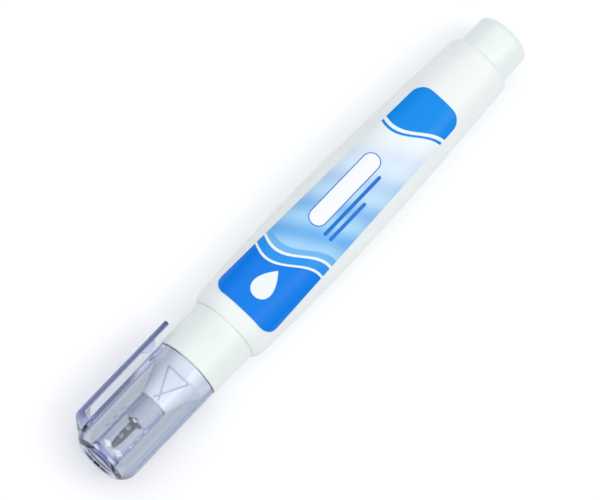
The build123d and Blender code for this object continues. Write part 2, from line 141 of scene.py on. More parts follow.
# Metal tip
ORIFICE_RADIUS = 0.44 * MM
ORIFICE_LIP = 0.15 * MM
ORIFICE_LENGTH = 0.7 * MM
LIP_EDGE = 0.07 * MM
VALVE_CONE = 0.5 * MM
NOZZLE_BORE = 0.65 * MM
NOZZLE_WALL = 0.375 * MM
NOZZLE_CONE = 2.1 * MM
NOZZLE_EDGE = 0.8 * MM  # where the cone meets the straight neck
FLANGE_STEP = 0.25 * MM  # how far the flange stands out over the pressed-in shank
FLANGE_LENGTH = 0.5 * MM
FLANGE_EDGE = 0.06 * MM
SHANK_RADIUS = 1.6 * MM

# Front section: spigot, flared nose, cap seat, collar and the skirt inside the barrel
SPIGOT_WALL = 1.15 * MM
SPIGOT_LENGTH = 5.9 * MM
SPIGOT_EDGE = 0.4 * MM
FLARE_LENGTH = 7.9 * MM
FLARE_SAG = 0.35 * MM  # hollow of the nose's concave flare
SEAT_STEP = 0.25 * MM  # from the flare up to the seat
SEAT_LENGTH = 3.3 * MM
SEAT_EDGE = 0.12 * MM
COLLAR_PROUD = 0.15 * MM  # how far the collar stands out past the cap
COLLAR_DRAFT = 0.1 * MM  # growth of its radius towards the barrel
COLLAR_EDGE = 0.16 * MM
NECK_WALL = 1.4 * MM  # from the barrel's neck out to the collar's radius
SKIRT_WALL = 1.1 * MM

# Valve spring
SPRING_WIRE = 0.3 * MM
SPRING_TURNS = 10

# Barrel
BARREL_WALL = 1.2 * MM
SHOULDER_LENGTH = 4.2 * MM
SHOULDER_LIP = 0.05 * MM  # how far the barrel starts outside the collar
WIDTH_RISE = 1.5 * MM  # from the collar out to the barrel's side, behind the shoulder
DEPTH_RISE = 0.2 * MM  # and out to its label face
BELLY_INSET = 28.9 * MM  # from the barrel's front to the widest place
FACE_ANGLE = math.radians(86)  # where an oval's side arcs meet its flatter faces
TAPER_POWER = 1.75
TAIL_WALL = 1.45 * MM
TAIL_EDGE = 0.9 * MM
RING_HEIGHT = 0.07 * MM
RING_WIDTH = 0.5 * MM
RING_INSET = 4.1 * MM

# Tail plug
PLUG_SHOULDER = 0.2 * MM  # step that stops the plug against the barrel's end
PLUG_WALL = 1.3 * MM
PLUG_EDGE = 1.8 * MM
PLUG_LEAD_IN = 0.4 * MM
PLUG_FLOOR_EDGE = 0.8 * MM

# Label
LABEL_GLUE = 0.05 * MM
LABEL_FILM = 0.1 * MM
LABEL_FRONT_HALF = 8.55 * MM  # half widths at its two ends
LABEL_TAIL_HALF = 6.3 * MM
LABEL_CORNER = 3.0 * MM

# How finely the meshes are cut: steps of a curve, or longest lengths and turns
ROUND_STEPS = 160
ARC_STEPS = 7
SHOULDER_STEPS = 16
CAP_ARC_STEPS = 20
FLARE_STEPS = 12
WEB_STEPS = 12
BUMP_STEPS = 16
BUMP_ROUND_STEPS = 48
CORNER_STEPS = 10
LABEL_STEPS = 30  # each side of the label's middle
COIL_STEPS = 40  # along each turn of the spring
WIRE_STEPS = 12  # round its wire
EDGE_SEGMENTS = 4
MOULDING_STEP = 0.7 * MM
CLOSE_STEP = 0.3 * MM  # along the metal tip and the barrel
BORE_STEP = 4 * MM
WIDE_STEP = 0.8 * MM  # along the label and the plain stretches of the cap
FINE_STEP = 0.07 * MM  # under the pips and the arrow
PLAIN_TURN = math.radians(4)  # round the rest of the cap
SHARP_TURN = math.radians(40)  # edges that turn further are shaded sharp
TINY = 1e-9  # lengths below this are nought

# Radii, half widths and half depths, each from the piece that it fits
spigot_radius = SHANK_RADIUS + SPIGOT_WALL
tube_bore = spigot_radius + TUBE_FIT
tube_radius = tube_bore + TUBE_WALL
cap_bore = CAP_RADIUS - CAP_WALL
seat_radius = cap_bore - CAP_FIT
collar_front_radius = CAP_RADIUS + COLLAR_PROUD
collar_radius = collar_front_radius + COLLAR_DRAFT
neck_bore = collar_radius - NECK_WALL
skirt_radius = neck_bore - PRESS_FIT
front_width = collar_radius + WIDTH_RISE
belly_width = (barrel_high.y - barrel_low.y) / 2
barrel_depth = collar_radius + DEPTH_RISE
plug_radius = cap_bore - POST_FIT
land_radius = plug_radius - PLUG_SHOULDER
tail_bore = land_radius + PRESS_FIT
tail_radius = tail_bore + TAIL_WALL
clip_outer = clip_high.y - axis_y - HAIR
clip_inner = clip_outer - CLIP_THICKNESS
clip_foot = cap_bore - CLIP_ROOT_REACH

# Places along the pen
cap_end = cap_low.x
cap_mouth = cap_high.x
cap_floor = cap_end + CAP_FLOOR
clip_root = clip_low.x
clip_root_end = clip_root + CLIP_ROOT_LENGTH
spigot = front_low.x
flare = spigot + SPIGOT_LENGTH
seat = flare + FLARE_LENGTH
collar = seat + SEAT_LENGTH
barrel_front = barrel_low.x
shoulder = barrel_front + SHOULDER_LENGTH
belly = barrel_front + BELLY_INSET
tail = barrel_high.x


def evenly(end, steps):
    """Values from nought up to and with end, in even steps."""
    return [end * step / steps for step in range(steps + 1)]


def full_circle(steps):
    """Turns of a whole circle, evenly stepped."""
    return evenly(2 * math.pi, steps)[:-1]


def rounded(corners, loop=True):
    """Outline through corners (x, y, fillet), with an arc at each corner that has a fillet."""
    outline = []
    for index, (x, y, fillet) in enumerate(corners):
        corner = Vector((x, y))
        ends = not loop and index in (0, len(corners) - 1)
        if not fillet or ends:
            outline.append(corner)
            continue
        before = (Vector(corners[index - 1][:2]) - corner).normalized()
        after = (Vector(corners[(index + 1) % len(corners)][:2]) - corner).normalized()
        half = before.angle(after) / 2
        middle = corner + (before + after).normalized() * fillet / math.sin(half)
        start = corner + before * fillet / math.tan(half) - middle
        way = 1 if before.x * after.y - before.y * after.x < 0 else -1
        for turn in evenly(way * (math.pi - 2 * half), ARC_STEPS):
            outline.append(middle + Matrix.Rotation(turn, 2) @ start)
    return outline


def stepped(start, end, longest):
    """Evenly spaced places from start up to, but not with, end."""
    count = max(1, math.ceil(abs(end - start) / longest))
    return [start + (end - start) * step / count for step in range(count)]


def spaced(outline, longest, loop=True):
    """The same outline with its long runs cut into shorter ones."""
    points = []
    following = outline[1:] + outline[:1] if loop else outline[1:]
    for start, end in zip(outline, following):
        run = (end - start).length
        points += [start.lerp(end, share / run) for share in stepped(0, run, longest)] if run else []
    return points if loop else points + outline[-1:]


def around(x, radius, turns):
    """Ring of points round the pen's axis, or one point where the radius is nought."""
    if radius < TINY:
        return [Vector((x, axis_y, axis_z))]
    return [
        Vector((x, axis_y + radius * math.cos(turn), axis_z + radius * math.sin(turn)))
        for turn in turns
    ]


def settled(name, mesh):
    """Object from a mesh, with its faces turned outwards and shaded smooth up to its sharp edges."""
    form = bmesh.new()
    form.from_mesh(mesh)
    bmesh.ops.recalc_face_normals(form, faces=form.faces)
    form.to_mesh(mesh)
    form.free()
    mesh.shade_smooth()
    mesh.set_sharp_from_angle(angle=SHARP_TURN)
    piece = bpy.data.objects.new(name, mesh)
    bpy.context.scene.collection.objects.link(piece)
    return piece


def skin(name, rings, loop=False, ends=False):
    """Object skinned over closed rings of points. A ring of one point is a pole; loop joins last to first."""
    vertices, starts, faces = [], [], []
    for ring in rings:
        starts.append(len(vertices))
        vertices += ring
    pairs = list(zip(range(len(rings) - 1), range(1, len(rings))))
    if loop:
        pairs.append((len(rings) - 1, 0))
    for first, second in pairs:
        one, other = len(rings[first]), len(rings[second])
        for step in range(max(one, other)):
            corners = (
                starts[first] + step % one,
                starts[first] + (step + 1) % one,
                starts[second] + (step + 1) % other,
                starts[second] + step % other,
            )
            faces.append(tuple(dict.fromkeys(corners)))
    if ends:
        faces.append(tuple(range(len(rings[0]))))
        faces.append(tuple(range(starts[-1], starts[-1] + len(rings[-1]))))
    mesh = bpy.data.meshes.new(name)
    mesh.from_pydata(vertices, [], faces)
    return settled(name, mesh)


def turned(name, corners, longest, loop=True):
    """Piece turned about the pen's axis from corners (x, radius, fillet)."""
    turns = full_circle(ROUND_STEPS)
    outline = spaced(rounded(corners, loop), longest, loop)
    return skin(name, [around(x, radius, turns) for x, radius in outline], loop)


def plate(name, outline, thickness, edge):
    """Flat strip of the given outline in the XY plane, thick along Z, with its rims rounded."""
    form = bmesh.new()
    low = axis_z - thickness / 2
    rim = [form.verts.new((x, axis_y + y, low)) for x, y in outline]
    face = form.faces.new(rim)
    raised = bmesh.ops.extrude_face_region(form, geom=[face])["geom"]
    upper = [item for item in raised if isinstance(item, bmesh.types.BMVert)]
    bmesh.ops.translate(form, vec=(0, 0, thickness), verts=upper)
    bmesh.ops.recalc_face_normals(form, faces=form.faces)
    if edge:
        rims = [line for line in form.edges if abs(line.verts[0].co.z - line.verts[1].co.z) < thickness / 2]
        bmesh.ops.bevel(
            form, geom=rims, offset=edge, segments=EDGE_SEGMENTS, profile=0.5, affect="EDGES"
        )
    mesh = bpy.data.meshes.new(name)
    form.to_mesh(mesh)
    form.free()
    return settled(name, mesh)


def fuse(target, *others):
    """Joins closed pieces into the first one, as one moulding."""
    for other in others:
        joint = target.modifiers.new("fuse", "BOOLEAN")
        joint.operation = "UNION"
        joint.solver = "EXACT"
        joint.object = other
    bpy.context.view_layer.update()
    mesh = bpy.data.meshes.new_from_object(target.evaluated_get(bpy.context.evaluated_depsgraph_get()))
    name = target.name
    for piece in (target, *others):
        bpy.data.objects.remove(piece)
    return settled(name, mesh)


def tapered(x, front, middle, end):
    """Half size of the barrel at x: front up to middle at its widest place, then down to end."""
    if x < belly:
        share = (belly - x) / (belly - shoulder)
        return middle - (middle - front) * share**2
    share = (x - belly) / (tail - belly)
    return middle - (middle - end) * share**TAPER_POWER


def bead(x):
    """Faint ring near the tail, where the plug's snap bead presses the barrel's wall outwards."""
    return RING_HEIGHT * math.exp(-(((x - tail + RING_INSET) / RING_WIDTH) ** 2))


def half_width(x):
    return tapered(x, front_width, belly_width, tail_radius) + bead(x)


def half_depth(x):
    return tapered(x, barrel_depth, barrel_depth, tail_radius) + bead(x)


def oval_arcs(width, depth):
    """Radii of an oval's sides and of its flatter faces, and how far their middles lie off its own."""
    spread = (width - depth) / (math.sin(FACE_ANGLE) + math.cos(FACE_ANGLE) - 1)
    aside, below = spread * math.cos(FACE_ANGLE), spread * math.sin(FACE_ANGLE)
    side = width - aside
    return side, side + spread, aside, below


def oval(x, width, depth):
    """Ring of the barrel: two side arcs and two flatter faces, stepped evenly by the turn of the surface."""
    side, face, aside, below = oval_arcs(width, depth)
    ring = []
    for turn in full_circle(ROUND_STEPS):
        y, z = math.cos(turn), math.sin(turn)
        if abs(z) < math.sin(FACE_ANGLE):
            point = (side * y + math.copysign(aside, y), side * z)
        else:
            point = (face * y, face * z - math.copysign(below, z))
        ring.append(Vector((x, axis_y + point[0], axis_z + point[1])))
    return ring


def top_of_oval(x, across, grow):
    """Height over the axis of the barrel's label side, made larger by grow all round."""
    side, face, aside, below = oval_arcs(half_width(x) + grow, half_depth(x) + grow)
    if abs(across) < face * math.cos(FACE_ANGLE):
        return math.sqrt(face**2 - across**2) - below
    return math.sqrt(side**2 - (abs(across) - aside) ** 2)


def make_barrel():
    """Hollow oval barrel with a rounded shoulder at the collar and a rounded edge at the tail."""
    turns = full_circle(ROUND_STEPS)
    start = collar_radius + SHOULDER_LIP
    rings = [around(barrel_front, neck_bore, turns)]
    for turn in evenly(math.pi / 2, SHOULDER_STEPS):
        x = shoulder - SHOULDER_LENGTH * math.cos(turn)
        rise = math.sin(turn)
        width = start + (half_width(shoulder) - start) * rise
        depth = start + (half_depth(shoulder) - start) * rise
        rings.append(oval(x, width, depth))
    edge_start = tail - TAIL_EDGE
    for x in stepped(shoulder, edge_start, CLOSE_STEP)[1:]:
        rings.append(oval(x, half_width(x), half_depth(x)))
    for turn in evenly(math.pi / 2, ARC_STEPS):
        x = edge_start + TAIL_EDGE * math.sin(turn)
        inwards = TAIL_EDGE * (1 - math.cos(turn))
        rings.append(oval(x, half_width(x) - inwards, half_depth(x) - inwards))
    rings.append(around(tail, tail_bore, turns))
    rings.append(around(plug_low.x, tail_bore, turns))
    for x in stepped(plug_low.x, front_high.x, BORE_STEP):
        rings.append(oval(x, half_width(x) - BARREL_WALL, half_depth(x) - BARREL_WALL))
    rings.append(around(front_high.x, neck_bore, turns))
    return skin("barrel_shell", rings, loop=True)


def label_half(x):
    """Half width of the label at x, with its rounded corners."""
    share = (x - label_low.x) / (label_high.x - label_low.x)
    half = LABEL_FRONT_HALF + (LABEL_TAIL_HALF - LABEL_FRONT_HALF) * share
    from_end = min(x - label_low.x, label_high.x - x)
    if from_end < LABEL_CORNER:
        half -= LABEL_CORNER - math.sqrt(max(0, LABEL_CORNER**2 - (LABEL_CORNER - from_end) ** 2))
    return half


def make_label():
    """Thin film that lies on the barrel's label face and bends round its sides."""
    turns = evenly(math.pi / 2, CORNER_STEPS)[:-1]
    corner = [LABEL_CORNER * (1 - math.cos(turn)) for turn in turns]
    places = [label_low.x + inset for inset in corner]
    places += stepped(label_low.x + LABEL_CORNER, label_high.x - LABEL_CORNER, WIDE_STEP)
    places += [label_high.x - LABEL_CORNER] + [label_high.x - inset for inset in reversed(corner)]
    shares = [step / LABEL_STEPS - 1 for step in range(2 * LABEL_STEPS + 1)]
    rings = []
    for x in places:
        half = label_half(x)
        top = [(half * share, LABEL_GLUE + LABEL_FILM) for share in shares]
        below = [(half * share, LABEL_GLUE) for share in reversed(shares)]
        rings.append(
            [Vector((x, axis_y + y, axis_z + top_of_oval(x, y, grow))) for y, grow in top + below]
        )
    return skin("label_film", rings, ends=True)


def make_front_section():
    """Collar, cap seat, flared nose and spigot, with the skirt that is pressed into the barrel."""
    top = seat_radius - SEAT_STEP
    rise = top - tube_radius
    chord = math.hypot(FLARE_LENGTH, rise)
    sweep = []
    for share in evenly(1, FLARE_STEPS)[1:-1]:
        sag = 4 * FLARE_SAG * share * (1 - share)
        x = flare + FLARE_LENGTH * share + sag * rise / chord
        sweep.append((x, tube_radius + rise * share - sag * FLARE_LENGTH / chord, 0))
    bore = SHANK_RADIUS + PRESS_FIT
    hollow = skirt_radius - SKIRT_WALL
    corners = [
        (spigot, bore, 0),
        (spigot, spigot_radius, SPIGOT_EDGE),
        (flare, spigot_radius, FINE_EDGE),
        (flare, tube_radius, SOFT_EDGE),
        *sweep,
        (seat, top, FINE_EDGE),
        (seat, seat_radius, SEAT_EDGE),
        (collar, seat_radius, FINE_EDGE),
        (collar, collar_front_radius, SOFT_EDGE),
        (barrel_front, collar_radius, COLLAR_EDGE),
        (barrel_front, skirt_radius, 0),
        (front_high.x, skirt_radius, 0),
        (front_high.x, hollow, 0),
        (collar, hollow, 0),
        (collar, bore, 0),
    ]
    return turned("collar_and_nose", corners, MOULDING_STEP)


def make_metal_tip():
    """Turned nozzle: a straight neck with a small flange, a cone at its point and a bore for the needle."""
    neck = NOZZLE_BORE + NOZZLE_WALL
    flange = SHANK_RADIUS + FLANGE_STEP
    corners = [
        (tip_low.x, ORIFICE_RADIUS, KEEN_EDGE),
        (tip_low.x, ORIFICE_RADIUS + ORIFICE_LIP, LIP_EDGE),
        (tip_low.x + NOZZLE_CONE, neck, NOZZLE_EDGE),
        (spigot - FLANGE_LENGTH, neck, SOFT_EDGE),
        (spigot - FLANGE_LENGTH, flange, FINE_EDGE),
        (spigot, flange, FLANGE_EDGE),
        (spigot, SHANK_RADIUS, 0),
        (tip_high.x, SHANK_RADIUS, FINE_EDGE),
        (tip_high.x, NOZZLE_BORE, 0),
        (tip_low.x + ORIFICE_LENGTH + VALVE_CONE, NOZZLE_BORE, 0),
        (tip_low.x + ORIFICE_LENGTH, ORIFICE_RADIUS, 0),
    ]
    return turned("metal_nozzle", corners, CLOSE_STEP)


def make_spring():
    """Coil of round wire behind the needle, wound at an even pitch."""
    radius = (spring_high.y - spring_low.y - SPRING_WIRE) / 2
    start = spring_low.x + SPRING_WIRE / 2
    pitch = (spring_high.x - spring_low.x - SPRING_WIRE) / SPRING_TURNS
    rings = []
    for step in range(SPRING_TURNS * COIL_STEPS + 1):
        turn = 2 * math.pi * step / COIL_STEPS
        outwards = Vector((0, math.cos(turn), math.sin(turn)))
        way = Vector((pitch / (2 * math.pi), -radius * math.sin(turn), radius * math.cos(turn)))
        aside = way.normalized().cross(outwards)
        middle = Vector((start + pitch * step / COIL_STEPS, axis_y, axis_z)) + outwards * radius
        ring = []
        for part in full_circle(WIRE_STEPS):
            off = outwards * math.cos(part) + aside * math.sin(part)
            ring.append(middle + off * SPRING_WIRE / 2)
        rings.append(ring)
    return skin("spring_coil", rings, ends=True)


def make_tail_plug():
    """Cup pressed into the barrel's tail, closed and rounded at the end that shows."""
    bore = plug_radius - PLUG_WALL
    floor = plug_high.x - PLUG_WALL
    corners = [
        (floor, 0, 0),
        (floor, bore, PLUG_FLOOR_EDGE),
        (plug_low.x, bore, FINE_EDGE),
        (plug_low.x, land_radius, PLUG_LEAD_IN),
        (tail, land_radius, 0),
        (tail, plug_radius, 0),
        (plug_high.x, plug_radius, PLUG_EDGE),
        (plug_high.x, 0, 0),
    ]
    return turned("tail_plug_cup", corners, MOULDING_STEP, loop=False)


def pip_height(x, turn):
    """Height of the grip pips at x on the cap's side, turn being measured from the label side."""
    height = 0.0
    for row in PIP_ROWS:
        for column in range(PIP_COLUMNS):
            along = x - (cap_end + PIP_INSET + column * PIP_PITCH)
            across = CAP_RADIUS * (turn - row * PIP_TURN)
            apart = along**2 + across**2
            if apart < PIP_RADIUS**2:
                height = max(height, PIP_HEIGHT * math.sqrt(1 - apart / PIP_RADIUS**2))
    return height


def arrow_height(x, turn):
    """Height of the three raised lines of the arrow, whose two long sides cross at its point."""
    base = cap_mouth - ARROW_INSET
    point = base - ARROW_LENGTH
    across_end = ARROW_HALF * ARROW_TAIL / ARROW_LENGTH
    here = Vector((x, CAP_RADIUS * math.sin(turn)))
    height = 0.0
    for start, end in (
        ((base, -ARROW_HALF), (base, ARROW_HALF)),
        ((base, -ARROW_HALF), (point - ARROW_TAIL, across_end)),
        ((base, ARROW_HALF), (point - ARROW_TAIL, -across_end)),
    ):
        run = Vector(end) - Vector(start)
        off = here - Vector(start)
        share = min(1, max(0, off.dot(run) / run.length_squared))
        apart = (off - run * share).length
        if apart < ARROW_LINE / 2:
            height = max(height, ARROW_HEIGHT * math.sqrt(1 - (2 * apart / ARROW_LINE) ** 2))
    return height


def cap_shoulder(radius, length):
    """Corners of the cap's rounded shoulder, over a length from the end of its straight side."""
    drop = CAP_RADIUS - CAP_END_RADIUS
    bend = (CAP_SHOULDER**2 + drop**2) / (2 * drop)
    sweep = math.asin(length / bend)
    corners = []
    for turn in evenly(sweep, CAP_ARC_STEPS):
        x = cap_end + CAP_SHOULDER - bend * math.sin(turn)
        corners.append((x, radius - bend * (1 - math.cos(turn)), 0))
    return corners


def cap_outline():
    """Half section of the cap and its sealing tube, cut finely along the pips and the arrow."""
    tube_mouth = flare - SEAT_GAP
    corners = [
        (cap_end + DISH_DEPTH, 0, 0),
        (cap_end + DISH_DEPTH, DISH_RADIUS - DISH_DEPTH, DISH_FLOOR_EDGE),
        (cap_end, DISH_RADIUS, DISH_EDGE),
        (cap_end, CAP_END_RADIUS, CAP_END_EDGE),
        *reversed(cap_shoulder(CAP_RADIUS, CAP_SHOULDER)[:-1]),
        (cap_mouth, CAP_RADIUS, CAP_MOUTH_EDGE),
        (cap_mouth, cap_bore + CAP_LEAD_IN, KEEN_EDGE),
        (cap_mouth - CAP_LEAD_IN, cap_bore, KEEN_EDGE),
        *cap_shoulder(cap_bore, CAP_SHOULDER - CAP_END_WALL),
        (cap_end + CAP_END_WALL, tube_radius, TUBE_ROOT_EDGE),
        (tube_mouth, tube_radius, SOFT_EDGE),
        (tube_mouth, tube_bore, SOFT_EDGE),
        (cap_floor, tube_bore, TUBE_FLOOR_EDGE),
        (cap_floor, 0, 0),
    ]
    outline = spaced(rounded(corners, loop=False), WIDE_STEP, loop=False)
    side = [point for point in outline if abs(point.y - CAP_RADIUS) < TINY]
    rest = [point for point in outline if abs(point.y - CAP_RADIUS) >= TINY]
    first = outline.index(side[0])

    pips = cap_end + PIP_INSET
    pips_end = pips + (PIP_COLUMNS - 1) * PIP_PITCH
    arrow_end = cap_mouth - ARROW_INSET
    arrow = arrow_end - ARROW_LENGTH - ARROW_TAIL
    fine = [point.x for point in side]
    for start, end in (
        (pips - PIP_MARGIN, pips_end + PIP_MARGIN),
        (arrow - ARROW_MARGIN, arrow_end + ARROW_MARGIN),
    ):
        fine += stepped(start, end, FINE_STEP) + [end]
    side = [Vector((x, CAP_RADIUS)) for x in sorted({round(x, 7) for x in fine})]
    return rest[:first] + side + rest[first:]


def make_cap_shell():
    """Clear cap with its sealing tube inside, a dished end, and pips and an arrow on its label side."""
    top = math.pi / 2
    reach = PIP_TURN + 2 * PIP_RADIUS / CAP_RADIUS
    turns = stepped(top - reach, top + reach, FINE_STEP / CAP_RADIUS)
    turns += stepped(top + reach, top - reach + 2 * math.pi, PLAIN_TURN)
    rings = []
    for x, radius in cap_outline():
        ring = around(x, radius, turns)
        if abs(radius - CAP_RADIUS) < TINY:
            for point, turn in zip(ring, turns):
                if turn < top + reach:
                    height = max(pip_height(x, turn - top), arrow_height(x, turn - top))
                    point.y += height * math.cos(turn)
                    point.z += height * math.sin(turn)
        rings.append(ring)
    return skin("clear_cap", rings)


def make_clip_strip():
    """Leg and long strip of the pocket clip, from its foot in the cap's wall to its tip."""
    outline = rounded(
        [
            (clip_root, clip_foot, 0),
            (clip_root, CAP_RADIUS, CLIP_BEND),
            (clip_root + CLIP_LEAN, clip_outer, CLIP_BEND),
            (clip_high.x, clip_outer, CLIP_TIP),
            (clip_high.x, clip_inner, CLIP_TIP),
            (clip_root_end + CLIP_LEAN / 4, clip_inner, CLIP_BEND / 2),
            (clip_root_end, clip_foot + CLIP_HEEL, 0),
        ]
    )
    return plate("clip_strip", outline, clip_high.z - clip_low.z, CLIP_EDGE)


def make_clip_web():
    """Thin curved web in the corner between the clip's leg, its strip and the cap."""
    run = WEB_LENGTH - CLIP_LEAN / 2
    drop = clip_inner - cap_bore
    bend = (run**2 + drop**2) / (2 * drop)
    end = clip_root_end + WEB_LENGTH
    back = clip_root_end - CLIP_ROOT_LENGTH / 2
    outline = [Vector((back, clip_inner + OVERLAP)), Vector((end, clip_inner + OVERLAP))]
    for part in evenly(WEB_SWEEP, WEB_STEPS):
        turn = math.pi / 2 + part
        outline.append(Vector((end + bend * math.cos(turn), clip_inner - bend + bend * math.sin(turn))))
    outline.append(Vector((clip_root_end + CLIP_LEAN / 2, CAP_RADIUS - OVERLAP)))
    outline.append(Vector((back, clip_foot + CLIP_HEEL / 2)))
    return plate("clip_web", outline, WEB_THICKNESS, 0)


def make_clip_bump():
    """Dome under the clip that pinches a pocket's edge."""
    height = CLIP_GAP - CLIP_PINCH
    dome = (BUMP_RADIUS**2 + height**2) / (2 * height)
    middle = Vector((cap_mouth - BUMP_INSET, axis_y + clip_inner - height + dome, axis_z))
    last = math.acos((dome - height - OVERLAP) / dome)
    rings = [[middle - Vector((0, dome, 0))]]
    for turn in evenly(last, BUMP_STEPS)[1:]:
        radius, lower = dome * math.sin(turn), dome * math.cos(turn)
        ring = []
        for part in full_circle(BUMP_ROUND_STEPS):
            ring.append(middle + Vector((radius * math.cos(part), -lower, radius * math.sin(part))))
        rings.append(ring)
    rings.append([middle - Vector((0, dome * math.cos(last), 0))])
    return skin("clip_bump", rings)


# Sockets of a colour mix, by number because their names repeat
SHARE, FIRST, SECOND = 0, 6, 7


def linear(code):
    """Linear colour of an sRGB hex code."""
    shares = [int(code[place : place + 2], 16) / 255 for place in (0, 2, 4)]
    return [s / 12.92 if s <= 0.04045 else ((s + 0.055) / 1.055) ** 2.4 for s in shares] + [1.0]


def add(tree, kind, sockets=None, **settings):
    """Adds a node with its settings. Each socket takes a value, or a link from a node or a node's output."""
    node = tree.nodes.new(kind)
    for name, value in settings.items():
        setattr(node, name, value)
    for name, value in (sockets or {}).items():
        if isinstance(value, bpy.types.Node):
            value = next(output for output in value.outputs if output.enabled)
        if isinstance(value, bpy.types.NodeSocket):
            tree.links.new(value, node.inputs[name])
        else:
            node.inputs[name].default_value = value
    return node


def new_material(name):
    material = bpy.data.materials.new(name)
    material.use_nodes = True
    material.node_tree.nodes.clear()
    return material, material.node_tree


def finish(tree, pattern, smooth, rough, depth, sockets, under=None):
    """Surface whose gloss and fine relief follow a pattern, over a coarser relief if one is given."""
    gloss = add(tree, "ShaderNodeMapRange", {"Value": pattern, "To Min": smooth, "To Max": rough})
    bump = add(tree, "ShaderNodeBump", {"Height": pattern, "Distance": depth, "Strength": 1.0})
    if under:
        tree.links.new(under.outputs["Normal"], bump.inputs["Normal"])
    shader = add(tree, "ShaderNodeBsdfPrincipled", {**sockets, "Roughness": gloss, "Normal": bump})
    add(tree, "ShaderNodeOutputMaterial", {"Surface": shader})


def blended(tree, value, start, end, first, second, rise="LINEAR"):
    """Colour that goes from the first to the second one while a value goes from start to end."""
    span = {"Value": value, "From Min": start, "From Max": end}
    share = add(tree, "ShaderNodeMapRange", span, interpolation_type=rise)
    return add(tree, "ShaderNodeMix", {SHARE: share, FIRST: first, SECOND: second}, data_type="RGBA")


def run_distance(tree, place, middle, half_run):
    """Distance of each place from a straight run along X, with the given middle and half length."""
    apart = add(tree, "ShaderNodeVectorMath", {0: place, 1: middle}, operation="SUBTRACT")
    apart = add(tree, "ShaderNodeVectorMath", {0: apart}, operation="ABSOLUTE")
    apart = add(tree, "ShaderNodeVectorMath", {0: apart, 1: (half_run, 0, 0)}, operation="SUBTRACT")
    apart = add(tree, "ShaderNodeVectorMath", {0: apart, 1: (0, 0, 0)}, operation="MAXIMUM")
    return add(tree, "ShaderNodeVectorMath", {0: apart}, operation="LENGTH")


def white_polyethylene():
    """Blow-moulded polyethylene of the squeeze barrel: satin white, faintly wavy, with a fine mould grain.

    The grain is drawn coarser than the real one, so that it shows.
    """
    material, tree = new_material("white_polyethylene")
    place = add(tree, "ShaderNodeTexCoord").outputs["Object"]
    waves = add(tree, "ShaderNodeTexNoise", {"Vector": place, "Scale": 1 / (6 * MM), "Detail": 1.0})
    grain = add(tree, "ShaderNodeTexNoise", {"Vector": place, "Scale": 1 / (0.35 * MM), "Detail": 2.0})
    colours = {SHARE: waves, FIRST: linear("F1F6F2"), SECOND: linear("F7FBF7")}
    tint = add(tree, "ShaderNodeMix", colours, data_type="RGBA")
    wavy = add(tree, "ShaderNodeBump", {"Height": waves, "Distance": 0.03 * MM, "Strength": 1.0})
    sockets = {"Base Color": tint, "IOR": 1.51}
    finish(tree, grain, smooth=0.34, rough=0.46, depth=0.006 * MM, sockets=sockets, under=wavy)
    return material


def white_polypropylene():
    """Injection-moulded polypropylene of the collar, plug and retainer, smoother than the barrel."""
    material, tree = new_material("white_polypropylene")
    place = add(tree, "ShaderNodeTexCoord").outputs["Object"]
    flow = add(tree, "ShaderNodeTexNoise", {"Vector": place, "Scale": 1 / (3 * MM), "Detail": 2.0})
    colours = {SHARE: flow, FIRST: linear("EDF5F0"), SECOND: linear("F4FBF5")}
    tint = add(tree, "ShaderNodeMix", colours, data_type="RGBA")
    sockets = {"Base Color": tint, "IOR": 1.49}
    finish(tree, flow, smooth=0.26, rough=0.38, depth=0.008 * MM, sockets=sockets)
    return material


# Arrow on the clear cap: its raised lines are matt, and painted greyer than the polished cap as painted shade
# along them
ARROW_ROUGHNESS = 0.35
MARK_START = 0.1  # shares of the arrow's height over which its own finish comes in
MARK_FULL = 0.4


def arrow_mask(tree, place):
    """One on the arrow's raised lines and nought on the rest of the cap."""
    off_axis = {"Vector": place, "Location": (0, -axis_y, -axis_z), "Scale": (0, 1, 1)}
    radius = add(tree, "ShaderNodeMapping", off_axis)
    radius = add(tree, "ShaderNodeVectorMath", {0: radius}, operation="LENGTH")
    start = CAP_RADIUS + MARK_START * ARROW_HEIGHT
    full = CAP_RADIUS + MARK_FULL * ARROW_HEIGHT
    raised = add(tree, "ShaderNodeMapRange", {"Value": radius, "From Min": start, "From Max": full})
    split = add(tree, "ShaderNodeSeparateXYZ", {0: place}).outputs
    pips_end = cap_end + PIP_INSET + (PIP_COLUMNS - 1 / 2) * PIP_PITCH
    behind_pips = add(tree, "ShaderNodeMath", {0: split["X"], 1: pips_end}, operation="GREATER_THAN")
    label_side = {0: split["Z"], 1: axis_z + CAP_RADIUS / 2}
    label_side = add(tree, "ShaderNodeMath", label_side, operation="GREATER_THAN")
    marks = add(tree, "ShaderNodeMath", {0: label_side, 1: raised}, operation="MULTIPLY")
    return add(tree, "ShaderNodeMath", {0: behind_pips, 1: marks}, operation="MULTIPLY")


